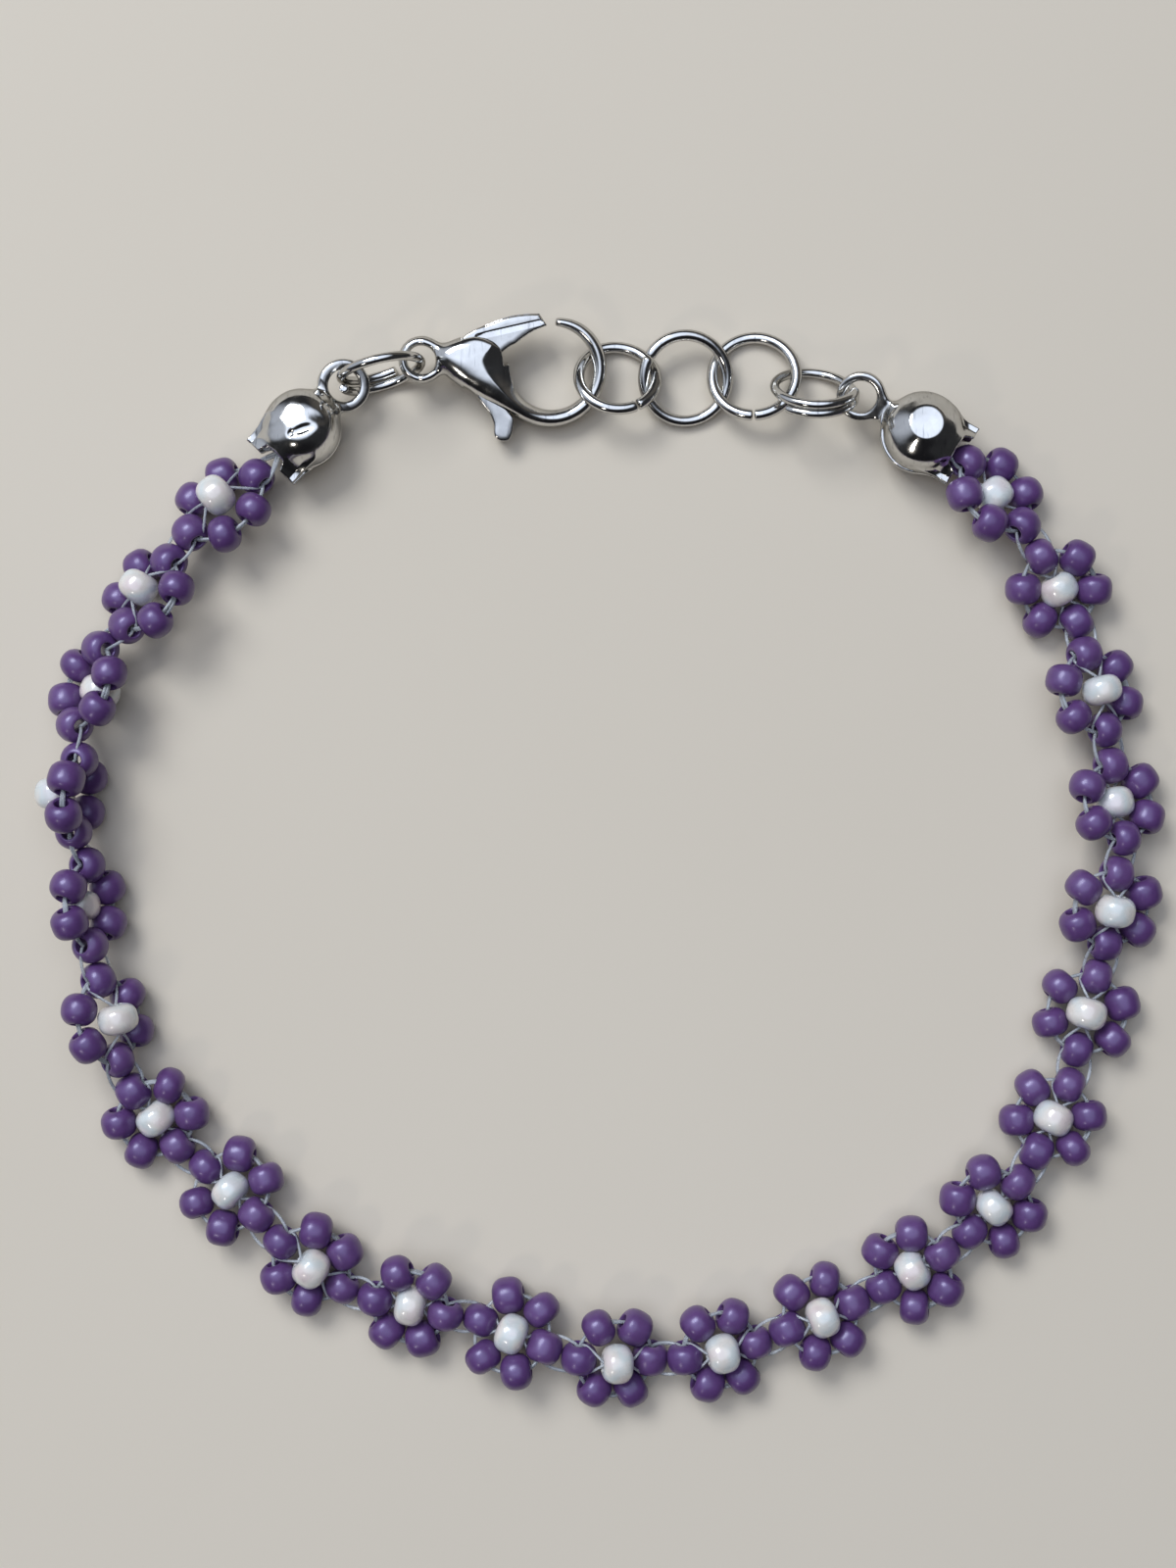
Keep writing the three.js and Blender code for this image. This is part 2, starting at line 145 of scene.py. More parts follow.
def glass_mauve():
    m, nt, s = material("petal_glass_mauve")
    geo = nt.nodes.new("ShaderNodeNewGeometry")
    each = ramp(nt, geo.outputs["Random Per Island"], [
        (0.00, (0.081, 0.035, 0.129)), (0.35, (0.097, 0.042, 0.147)),
        (0.70, (0.111, 0.053, 0.163)), (1.00, (0.089, 0.039, 0.143))])
    mottle = ramp(nt, noise(nt, 1700, 4, 0.6), [
        (0.30, (0.86, 0.85, 0.87)), (0.70, (1.10, 1.08, 1.10))])
    nt.links.new(blend_colour(nt, 1.0, each, mottle, "MULTIPLY"), s.inputs["Base Color"])
    nt.links.new(spread(nt, noise(nt, 2600, 3), 0.30, 0.42), s.inputs["Roughness"])
    s.inputs["IOR"].default_value = 1.60
    s.inputs["Specular IOR Level"].default_value = 0.57
    s.inputs["Specular Tint"].default_value = (0.65, 0.65, 1.0, 1.0)
    s.inputs["Coat Weight"].default_value = 0.32
    s.inputs["Coat Roughness"].default_value = 0.20
    bump(nt, s, noise(nt, 5200, 4, 0.6), 0.00001, 0.22)
    return m


def glass_pearl():
    m, nt, s = material("pearl_glass_lustre")
    geo = nt.nodes.new("ShaderNodeNewGeometry")
    each = ramp(nt, geo.outputs["Random Per Island"], [
        (0.0, (0.72, 0.66, 0.60)), (0.5, (0.70, 0.67, 0.64)), (1.0, (0.75, 0.68, 0.63))])
    sheen = ramp(nt, noise(nt, 620, 1.5, 0.5), [
        (0.28, (0.93, 0.84, 0.87)), (0.42, (0.98, 0.97, 0.95)),
        (0.56, (0.84, 0.95, 1.00)), (0.72, (0.96, 0.93, 1.00))])
    nt.links.new(blend_colour(nt, 1.0, each, sheen, "MULTIPLY"), s.inputs["Base Color"])
    nt.links.new(spread(nt, noise(nt, 1500, 3), 0.16, 0.34), s.inputs["Roughness"])
    s.inputs["IOR"].default_value = 1.6
    s.inputs["Coat Weight"].default_value = 0.7
    s.inputs["Coat Roughness"].default_value = 0.08
    s.inputs["Coat IOR"].default_value = 1.7
    bump(nt, s, noise(nt, 900, 2, 0.5), 0.00006, 0.25)
    return m


def plate(name, brass=0.06, scratch=0.16):
    m, nt, s = material(name)
    s.inputs["Metallic"].default_value = 1.0
    base = ramp(nt, noise(nt, 900, 3), [
        (0.30, (0.56, 0.555, 0.54)), (0.70, (0.68, 0.675, 0.66))])
    worn = ramp(nt, noise(nt, 1900, 5, 0.7), [
        (0.60, (0.0, 0.0, 0.0)), (0.74, (1.0, 1.0, 1.0))])
    lines = ramp(nt, noise(nt, 5200, 4, 0.65, (1.0, 0.07, 0.4)), [
        (0.30, (0.62, 0.63, 0.66)), (0.43, (1.0, 1.0, 1.0))])
    base = blend_colour(nt, 1.0, base, lines, "MULTIPLY")
    s.inputs["Specular Tint"].default_value = (0.55, 0.54, 0.52, 1.0)
    dim = nt.nodes.new("ShaderNodeMapRange")
    dim.inputs["To Max"].default_value = brass * 6
    nt.links.new(worn, dim.inputs["Value"])
    nt.links.new(blend_colour(nt, dim.outputs["Result"], base, (0.60, 0.47, 0.31)),
                 s.inputs["Base Color"])
    nt.links.new(spread(nt, noise(nt, 1400, 5, 0.65), 0.06, 0.20), s.inputs["Roughness"])
    fine = noise(nt, 9000, 3, 0.6, (1.0, 0.12, 0.5))
    wave = noise(nt, 1300, 2, 0.5)
    add = nt.nodes.new("ShaderNodeMath")
    add.operation = "MULTIPLY_ADD"
    add.inputs[1].default_value = 0.18
    nt.links.new(fine, add.inputs[0])
    nt.links.new(wave, add.inputs[2])
    bump(nt, s, add.outputs[0], 0.00004, scratch)
    return m


def nylon():
    m, nt, s = material("nylon_strand")
    tone = ramp(nt, noise(nt, 1500, 3), [
        (0.3, (0.58, 0.61, 0.65)), (0.7, (0.78, 0.81, 0.85))])
    nt.links.new(tone, s.inputs["Base Color"])
    nt.links.new(spread(nt, noise(nt, 2400, 2), 0.2, 0.4), s.inputs["Roughness"])
    s.inputs["IOR"].default_value = 1.5
    s.inputs["Transmission Weight"].default_value = 0.62
    bump(nt, s, noise(nt, 8000, 2), 0.00001, 0.2)
    return m


def pale_floor():
    m, nt, s = material("pale_floor")
    tone = ramp(nt, noise(nt, 9, 4, 0.55), [
        (0.3, (0.600, 0.535, 0.440)), (0.7, (0.625, 0.560, 0.465))])
    nt.links.new(tone, s.inputs["Base Color"])
    s.inputs["Roughness"].default_value = 0.62
    s.inputs["Specular IOR Level"].default_value = 0.3
    return m


MAUVE = glass_mauve()
PEARL = glass_pearl()
PLATE = plate("silver_plate_findings")
CAST_PLATE = plate("silver_plate_cast", 0.03, 0.10)
NYLON = nylon()


# ------------------------------------------------------------- mesh making
class Soup:
    """Vertices and quads or triangles gathered into one mesh, millimetres."""

    def __init__(self):
        self.v, self.f, self.n = [], [], 0

    def add(self, verts, faces):
        faces = np.asarray(faces) + self.n
        self.v.append(np.asarray(verts, float))
        self.f.extend(map(tuple, faces.tolist()))
        self.n += len(verts)

    def add_face(self, idx):
        self.f.append(tuple(int(i) for i in idx))

    def points(self):
        return np.concatenate(self.v)


def make(name, verts, faces, mat, normals=None):
    me = bpy.data.meshes.new(name)
    me.from_pydata(((np.asarray(verts) + SHIFT) * 0.001).tolist(), [], faces)
    me.polygons.foreach_set("use_smooth", [True] * len(me.polygons))
    me.materials.append(mat)
    me.update()
    if normals is not None:
        me.normals_split_custom_set_from_vertices(normals.tolist())
    ob = bpy.data.objects.new(name, me)
    bpy.context.scene.collection.objects.link(ob)
    return ob


def unit(a):
    a = np.asarray(a, float)
    return a / np.linalg.norm(a)


def grid_faces(rows, cols, wrap_rows, wrap_cols):
    i = np.arange(rows if wrap_rows else rows - 1)
    j = np.arange(cols if wrap_cols else cols - 1)
    I, J = np.meshgrid(i, j, indexing="ij")
    I2, J2 = (I + 1) % rows, (J + 1) % cols
    return np.stack([I * cols + J, I2 * cols + J, I2 * cols + J2, I * cols + J2], -1).reshape(-1, 4)


def bead_mesh(R, half, hole, power, sides, arc, lop, phase, skew, skew_at):
    """A drilled glass bead about +Z: barrel, rounded ends, lips, bore."""
    lip = 0.09
    start = math.asin(min(1.0, ((hole + lip) / R) ** (power / 2)))
    phi = np.linspace(start, math.pi - start, arc)
    e = 2 / power
    r = R * np.sin(phi) ** e
    z = half * np.sign(np.cos(phi)) * np.abs(np.cos(phi)) ** e
    z_top = z[0]
    q = np.radians([25, 60, 90])
    lip_r = hole + lip - lip * np.sin(q)
    lip_z = z_top - lip * (1 - np.cos(q))
    rr = np.concatenate([lip_r[::-1], r, lip_r, [hole * 0.96]])
    zz = np.concatenate([lip_z[::-1], z, -lip_z, [0.0]])
    th = np.linspace(0, 2 * math.pi, sides, endpoint=False)
    RR, TH = np.meshgrid(rr, th, indexing="ij")
    ZZ = np.repeat(zz[:, None], sides, 1)
    RR = RR * (1 + lop * np.cos(2 * TH + phase) + 0.4 * lop * np.cos(3 * TH + 2 * phase))
    ZZ = ZZ + skew * RR * np.cos(TH + skew_at) * np.sign(ZZ) * (np.abs(ZZ) / half) ** 2
    v = np.stack([RR * np.cos(TH), RR * np.sin(TH), ZZ], -1).reshape(-1, 3)
    return v, grid_faces(len(rr), sides, True, True)


def axes_along(d, spin=0.0):
    d = unit(d)
    a = np.array([0, 0, 1.0]) if abs(d[2]) < 0.8 else np.array([1.0, 0, 0])
    x = unit(np.cross(a, d))
    y = np.cross(d, x)
    c, s = math.cos(spin), math.sin(spin)
    return np.stack([c * x + s * y, c * y - s * x, d])


def bezier(p0, p1, p2, p3, steps):
    t = np.linspace(0, 1, steps)[:, None]
    return ((1 - t) ** 3) * p0 + 3 * t * (1 - t) ** 2 * p1 + 3 * t * t * (1 - t) * p2 + t ** 3 * p3


def spline(points, per):
    p = np.asarray(points, float)
    q = np.vstack([2 * p[0] - p[1], p, 2 * p[-1] - p[-2]])
    out = []
    for i in range(1, len(q) - 2):
        t = np.linspace(0, 1, per, endpoint=False)[:, None]
        a, b, c, d = q[i - 1], q[i], q[i + 1], q[i + 2]
        out.append(0.5 * (2 * b + (c - a) * t + (2 * a - 5 * b + 4 * c - d) * t ** 2
                          + (3 * b - a - 3 * c + d) * t ** 3))
    out.append(p[-1][None])
    return np.vstack(out)


def tube(soup, path, radius, sides, bevel=0.35):
    """A round strand along a path with rounded, closed ends."""
    path = np.asarray(path, float)
    tan = np.gradient(path, axis=0)
    tan /= np.linalg.norm(tan, axis=1)[:, None]
    n = len(path)
    rad = np.full(n, radius) if np.isscalar(radius) else np.asarray(radius, float)
    first = axes_along(tan[0])
    x = first[0]
    th = np.linspace(0, 2 * math.pi, sides, endpoint=False)
    rings, frames = [], []
    for i in range(n):
        x = x - tan[i] * np.dot(x, tan[i])
        x /= np.linalg.norm(x)
        frames.append((x.copy(), np.cross(tan[i], x)))
    ends = [(0.0, 0.40), (0.05, (1 - bevel) * 0.86), (0.12, 1 - bevel * 0.72), (0.12 + bevel * 0.42, 1 - bevel * 0.16),
            (0.12 + bevel * 0.95, 1.0)]
    order = [(path[0] + tan[0] * rad[0] * a, frames[0], rad[0] * b) for a, b in ends]
    for i in range(1, n - 1):
        if min(np.linalg.norm(path[i] - path[0]), np.linalg.norm(path[i] - path[-1])) > rad[i] * 0.6:
            order.append((path[i], frames[i], rad[i]))
    order += [(path[-1] - tan[-1] * rad[-1] * a, frames[-1], rad[-1] * b) for a, b in reversed(ends)]
    for c, (fx, fy), r in order:
        rings.append(c + r * (np.cos(th)[:, None] * fx + np.sin(th)[:, None] * fy))
    base = soup.n
    soup.add(np.vstack(rings), grid_faces(len(order), sides, False, True)[:, ::-1])
    soup.add_face([base + i for i in range(sides)][::-1])
    last = base + (len(order) - 1) * sides
    soup.add_face([last + i for i in range(sides)])


# --------------------------------------------------- surfaces from a field
def smin(a, b, k):
    h = np.clip(0.5 + 0.5 * (b - a) / k, 0, 1)
    return b + (a - b) * h - k * h * (1 - h)


def smax(a, b, k):
    return -smin(-a, -b, k)


def outline(points, p):
    """Signed distance from 2-D points p to a closed polygon."""
    pts = np.asarray(points, float)
    best = np.full(len(p), 1e9)
    inside = np.zeros(len(p), bool)
    for i in range(len(pts)):
        a, b = pts[i - 1], pts[i]
        e = b - a
        w = p - a
        t = np.clip((w @ e) / max(1e-12, e @ e), 0, 1)
        d = w - t[:, None] * e
        np.minimum(best, np.einsum("ij,ij->i", d, d), out=best)
        cond = (a[1] > p[:, 1]) != (b[1] > p[:, 1])
        with np.errstate(divide="ignore", invalid="ignore"):
            xs = a[0] + (p[:, 1] - a[1]) * e[0] / (e[1] if e[1] else 1e-12)
        inside ^= cond & (p[:, 0] < xs)
    d = np.sqrt(best)
    return np.where(inside, -d, d)


def skin(field, lo, hi, step, block=5):
    """Surface of field = 0 as quads, each vertex moved onto the surface."""
    lo, hi = np.asarray(lo, float), np.asarray(hi, float)
    nb = np.ceil((hi - lo) / (step * block)).astype(int)
    n = nb * block
    axis = [lo[k] + step * np.arange(n[k]) for k in range(3)]
    mid = [lo[k] + step * (block * np.arange(nb[k]) + (block - 1) / 2) for k in range(3)]
    C = np.stack(np.meshgrid(*mid, indexing="ij"), -1).reshape(-1, 3)
    coarse = field(C).reshape(nb)
    near = np.abs(coarse) < step * block * R3 * 0.5 * 1.9 + step
    full = near
    for k in range(3):
        full = np.repeat(full, block, axis=k)
        coarse = np.repeat(coarse, block, axis=k)
    val = np.where(coarse < 0, -1.0, 1.0)
    idx = np.argwhere(full)
    P = np.stack([axis[k][idx[:, k]] for k in range(3)], -1)
    got = np.concatenate([field(P[i:i + 200000]) for i in range(0, len(P), 200000)])
    val[full] = got
    ins = val < 0
    cells = tuple(n - 1)
    count = np.zeros(cells, np.int8)
    corner = [(a, b, c) for a in (0, 1) for b in (0, 1) for c in (0, 1)]

    def cut(arr, o):
        return arr[o[0]:o[0] + cells[0], o[1]:o[1] + cells[1], o[2]:o[2] + cells[2]]

    for o in corner:
        count += cut(ins, o)
    act = (count > 0) & (count < 8)
    cid = np.argwhere(act)
    pos = np.zeros((len(cid), 3))
    hits = np.zeros(len(cid))
    for a in corner:
        for k in range(3):
            if a[k]:
                continue
            b = list(a)
            b[k] = 1
            ia = tuple((cid + a).T)
            ib = tuple((cid + b).T)
            va, vb = val[ia], val[ib]
            m = (va < 0) != (vb < 0)
            t = np.where(m, va / np.where(m, va - vb, 1), 0)
            off = np.array(a, float)[None, :].repeat(len(cid), 0)
            off[:, k] += t
            pos[m] += off[m]
            hits[m] += 1
    pos = lo + step * (cid + pos / hits[:, None])
    number = np.full(cells, -1)
    number[act] = np.arange(len(cid))
    quads = []
    for k in range(3):
        i, j = [(1, 2), (2, 0), (0, 1)][k]
        s0 = [slice(1, -1)] * 3
        s0[k] = slice(0, cells[k])
        a = ins[tuple(s0)]
        s1 = list(s0)
        s1[k] = slice(1, cells[k] + 1)
        b = ins[tuple(s1)]
        e = np.argwhere(a != b)
        start = np.array([1, 1, 1])
        start[k] = 0
        e = e + start
        oi, oj = np.zeros(3, int), np.zeros(3, int)
        oi[i], oj[j] = 1, 1
        q = np.stack([number[tuple((e - oi - oj).T)], number[tuple((e - oj).T)],
                      number[tuple(e.T)], number[tuple((e - oi).T)]], -1)
        flip = ~ins[tuple(e.T)]
        q[flip] = q[flip][:, ::-1]
        quads.append(q)
    quads = np.concatenate(quads)
    quads = quads[(quads >= 0).all(1)]
    h = step * 0.02
    grad = None
    for _ in range(4):
        grad = np.stack([field(pos + h * np.eye(3)[k]) - field(pos - h * np.eye(3)[k])
                         for k in range(3)], -1) / (2 * h)
        f = field(pos)
        g2 = np.maximum(np.einsum("ij,ij->i", grad, grad), 0.05)
        move = -(f / g2)[:, None] * grad
        size = np.linalg.norm(move, axis=1)
        move *= np.minimum(1, step * 0.5 / np.maximum(size, 1e-9))[:, None]
        pos = pos + move
    wide = step * 0.35
    grad = np.stack([field(pos + wide * np.eye(3)[k]) - field(pos - wide * np.eye(3)[k])
                     for k in range(3)], -1)
    return pos, quads, grad / np.linalg.norm(grad, axis=1)[:, None]


def turn_z(deg):
    a = math.radians(deg)
    return np.array([[math.cos(a), -math.sin(a), 0], [math.sin(a), math.cos(a), 0], [0, 0, 1.0]])


def place(pos, nor, rot, at):
    return pos @ rot.T + np.asarray(at, float), nor @ rot.T


# ---------------------------------------------------------------- flowers
REST_R = 1.035
FLOWERS = [
    # no      x       y    head    roll  pitch  half  step   lift   side
    (1, -21.79, 20.57, -139.0, -151.7, 4.4, 2.50, 2.19, -1.00, 0.07),
    (2, -26.05, 15.39, -122.5, -138.4, 3.9, 2.20, 2.22, -0.80, 0.02),
    (3, -29.55, 10.03, -107.7, -134.6, 4.1, 2.32, 2.12, 0.90, 0.03),
    (4, -30.06, 3.74, -94.9, -81.9, -2.3, 2.07, 2.07, -1.29, -0.03),
    (5, -29.43, -2.54, -86.6, -59.9, 5.4, 2.31, 2.06, -0.68, 0.01),
    (6, -28.40, -9.19, -77.1, -43.3, -3.0, 2.37, 2.11, 0.98, 0.07),
    (7, -25.84, -14.98, -52.8, 4.3, -7.3, 2.04, 2.10, 0.20, 0.08),
    (8, -21.41, -19.18, -41.3, -0.2, 10.4, 2.05, 2.13, 0.35, 0.05),
    (9, -16.75, -23.44, -38.4, 2.4, -9.9, 2.24, 2.11, 0.68, -0.02),
    (10, -11.02, -25.83, -12.0, 16.2, 1.9, 2.08, 2.14, 0.05, 0.08),
    (11, -5.10, -27.41, -21.3, -11.7, 8.3, 2.01, 2.11, 0.40, -0.04),
    (12, 0.82, -28.86, -2.1, 9.5, -9.9, 2.09, 2.13, 0.88, 0.04),
    (13, 6.95, -28.42, 10.3, 6.9, -8.1, 2.09, 2.10, 0.76, 0.05),
    (14, 12.74, -26.45, 20.4, -6.6, -6.9, 2.05, 2.08, 0.84, -0.04),
    (15, 18.14, -23.78, 31.9, -0.2, 10.6, 1.98, 2.11, 0.20, 0.06),
    (16, 22.81, -20.09, 46.7, 9.8, 4.2, 2.00, 2.14, 0.10, 0.03),
    (17, 26.26, -14.96, 63.2, -7.6, -3.5, 2.13, 2.09, 0.36, 0.00),
    (18, 28.26, -8.89, 74.7, -1.0, -1.7, 2.18, 2.17, 0.77, 0.14),
    (19, 29.55, -2.78, 82.3, 15.7, 7.4, 2.05, 2.16, 0.78, 0.13),
    (20, 29.88, 3.40, 98.7, 23.3, -7.3, 2.14, 2.14, -0.31, 0.00),
    (21, 28.60, 9.75, 104.8, 22.2, -1.2, 2.25, 2.16, 0.69, -0.04),
    (22, 26.58, 15.73, 121.0, -5.7, 11.4, 2.19, 2.11, 0.05, 0.00),
    (23, 22.80, 21.17, 130.3, 29.8, -3.0, 2.40, 2.18, -0.13, 0.00),
]
BEAD_TIPS = {
    # name: x, y, head, cup, loop, outer, hole, roll, notch
    "left": (-17.18, 24.93, 226.5, 2.15, 3.43, 1.52, 0.88, -18, 0.86),
    "right": (18.56, 24.69, -31.0, 2.26, 4.10, 1.42, 0.88, 24, 1.10),
}
CUP_Z = 2.12


def flower(row):
    no, x, y, head, roll, pitch, half, step, lift, side = row
    h, p, ro = map(math.radians, (head, pitch, roll))
    u = np.array([math.cos(h) * math.cos(p), math.sin(h) * math.cos(p), math.sin(p)])
    left = np.array([-math.sin(h), math.cos(h), 0.0])
    up = np.cross(u, left)
    v = left * math.cos(ro) + up * math.sin(ro)
    n = np.cross(u, v)
    c = step / 2
    b = math.sqrt(step ** 2 - (half - c) ** 2)
    seats = [(-half, 0), (-c, b), (c, b), (half, 0), (c, -b), (-c, -b)]
    rel = [u * a + v * w for a, w in seats]
    centre = np.array([x, y, REST_R - min(r[2] for r in rel)])
    at = [r + centre for r in rel]
    holes = []
    for i in range(6):
        if i == 0:
            holes.append(v)
        elif i == 3:
            holes.append(-v)
        else:
            holes.append(unit(at[(i + 1) % 6] - at[(i + 5) % 6]))
    return dict(no=no, u=u, v=v, n=n, at=at, holes=holes, centre=centre,
                pearl=centre + n * lift + v * side)


blooms = [flower(row) for row in FLOWERS]


def strands(soup, ctrl, count, radius, spread_by, sides=8, steps=13):
    """A few parallel strands on one Bezier path, fanned out across it."""
    p0, p1, p2, p3 = [np.asarray(c, float) for c in ctrl]
    across = np.cross(p3 - p0, p1 - p0)
    if np.linalg.norm(across) < 1e-6:
        across = np.cross(p3 - p0, np.array([0, 0, 1.0]))
    across = unit(across)
    other = unit(np.cross(across, unit(p3 - p0)))
    for k in range(count):
        o = (k - (count - 1) / 2) * spread_by
        w = rng.uniform(-0.5, 0.5) * spread_by
        a = across * o + other * w
        b = across * o * rng.uniform(-0.4, 1.0) + other * rng.uniform(-0.5, 0.5) * spread_by
        tube(soup, bezier(p0 + a * 0.6, p1 + a, p2 + b, p3 + b * 0.6, steps), radius, sides)


for k, f in enumerate(blooms):
    tag = f"{f['no']:02d}"
    beads = Soup()
    for i in range(6):
        R = min(1.07, 1.05 * (1 + rng.gauss(0, 0.012)))
        half = 0.93 * (1 + rng.gauss(0, 0.030))
        v, faces = bead_mesh(R, half, 0.40 + rng.uniform(-0.02, 0.02), 2.45 + rng.uniform(-0.2, 0.35),
                             28, 15, rng.uniform(0.0, 0.012), rng.uniform(0, 6.28),
                             rng.uniform(0.0, 0.055), rng.uniform(0, 6.28))
        d = unit(f["holes"][i] + np.array([rng.gauss(0, 0.04) for _ in range(3)]))
        beads.add(v @ axes_along(d, rng.uniform(0, 6.28)) + f["at"][i], faces)
    piece = make(f"petal_beads_{tag}", beads.points(), beads.f, MAUVE)
    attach(piece, "bracelet")
    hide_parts(f"petals_{tag}")

    one = Soup()
    v, faces = bead_mesh(1.15 * (1 + rng.gauss(0, 0.012)), 0.92 * (1 + rng.gauss(0, 0.03)),
                         0.42, 2.7, 40, 19, rng.uniform(0.0, 0.012), rng.uniform(0, 6.28),
                         rng.uniform(0.0, 0.05), rng.uniform(0, 6.28))
    one.add(v @ axes_along(f["u"], rng.uniform(0, 6.28)) + f["pearl"], faces)
    piece = make(f"pearl_bead_{tag}", one.points(), one.f, PEARL)
    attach(piece, "bracelet")
    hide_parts(f"pearl_{tag}")

    line = Soup()
    at, holes, u, v3 = f["at"], f["holes"], f["u"], f["v"]
    for i in range(6):
        j = (i + 1) % 6
        a = at[i] + holes[i] * 0.56
        b = at[j] - holes[j] * 0.56
        count = rng.choice([2, 2, 3]) if i in (1, 4) else rng.choice([1, 2, 2])
        fan = 0.175 if i in (1, 4) else 0.13
        strands(line, (a, a + holes[i] * 0.24, b - holes[j] * 0.24, b), count, 0.100, fan)
    for sgn, bead, away in ((-1, 0, -1), (1, 3, 1)):
        out = f["pearl"] + u * (0.66 * sgn)
        for s in (1, -1):
            end = at[bead] + v3 * (0.55 * s)
            ctrl = (out, out + u * (0.46 * sgn) + v3 * (0.26 * s),
                    end + v3 * (0.88 * s) - u * (0.16 * sgn) + f["n"] * 0.04, end)
            strands(line, ctrl, 1, 0.080, 0.1)
    if k + 1 < len(blooms):
        g = blooms[k + 1]
        for s in (1, -1):
            a = at[3] + v3 * (0.58 * s)
            b = g["at"][0] + g["v"] * (0.58 * s)
            bulge = 0.46 + rng.uniform(-0.06, 0.12)
            ctrl = (a, a + v3 * (bulge * s) + u * 0.34, b + g["v"] * (bulge * s) - g["u"] * 0.34, b)
            strands(line, ctrl, 1 if rng.random() < 0.8 else 2, 0.095, 0.12, steps=16)
    if k == 0:
        x, y, head = BEAD_TIPS["left"][:3]
        d = np.array([math.cos(math.radians(head)), math.sin(math.radians(head)), 0])
        side = np.array([-d[1], d[0], 0])
        mouth = np.array([x, y, CUP_Z]) + d * 0.9
        for s, w in ((1, 0.34), (1, 0.12), (-1, -0.12), (-1, -0.34)):
            end = at[0] + v3 * (0.60 * s)
            ctrl = (mouth + side * w, mouth + d * 1.0 + side * w * 1.3,
                    end + v3 * (0.75 * s) - u * 0.3, end)
            strands(line, ctrl, 1, 0.105, 0.1, steps=18)
        curl = [mouth - side * 0.2, mouth + d * 0.9 - side * 0.35, mouth + d * 1.45 - side * 0.75 + np.array([0, 0, .1]),
                mouth + d * 1.15 - side * 1.05, mouth + d * 0.8 - side * 0.9 - np.array([0, 0, .15])]
        tube(line, spline(curl, 7), 0.09, 8)
    if k == len(blooms) - 1:
        x, y, head = BEAD_TIPS["right"][:3]
        d = np.array([math.cos(math.radians(head)), math.sin(math.radians(head)), 0])
        side = np.array([-d[1], d[0], 0])
        mouth = np.array([x, y, CUP_Z]) + d * 0.9
        for s, w in ((1, 0.2), (-1, -0.2)):
            start = at[3] + v3 * (0.60 * s)
            ctrl = (start, start + v3 * (0.55 * s) + u * 0.2, mouth + d * 0.6 + side * w, mouth + side * w)
            strands(line, ctrl, 1, 0.105, 0.1, steps=16)
    piece = make(f"thread_{tag}", line.points(), line.f, NYLON)
    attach(piece, "bracelet")


# --------------------------------------------------------------- bead tips
def rounded_box(p, half, r):
    q = np.abs(p) - (np.asarray(half) - r)
    return np.linalg.norm(np.maximum(q, 0), axis=1) + np.minimum(q.max(1), 0) - r


def ripples(p, seed):
    g = np.random.RandomState(seed)
    out = np.zeros(len(p))
    for _ in range(7):
        k = g.normal(size=3) * 1.7
        out += np.sin(p @ k + g.uniform(0, 6.28)) * g.uniform(0.3, 1.0)
    return out / 4


def leaned(p, lx, ly):
    """Coordinates in a frame whose third axis leans by (lx, ly)."""
    n = unit([lx, ly, 1.0])
    a = unit(np.array([1.0, 0, 0]) - n * n[0])
    return np.stack([p @ a, p @ np.cross(n, a), p @ n], -1)


def dome(p, R, H, cap, power, edge, cone=None):
    rho = np.hypot(p[:, 0], p[:, 1])
    q = ((rho / R) ** power + (np.abs(p[:, 2]) / H) ** power) ** (1 / power)
    f = (q - 1) * R
    if cone:
        start, deg = cone
        c, t = math.cos(math.radians(deg)), math.sin(math.radians(deg))
        f = smax(f, (rho - start) * t + (np.abs(p[:, 2]) - cap) * c, 0.30)
    return smax(f, np.abs(p[:, 2]) - cap, edge)


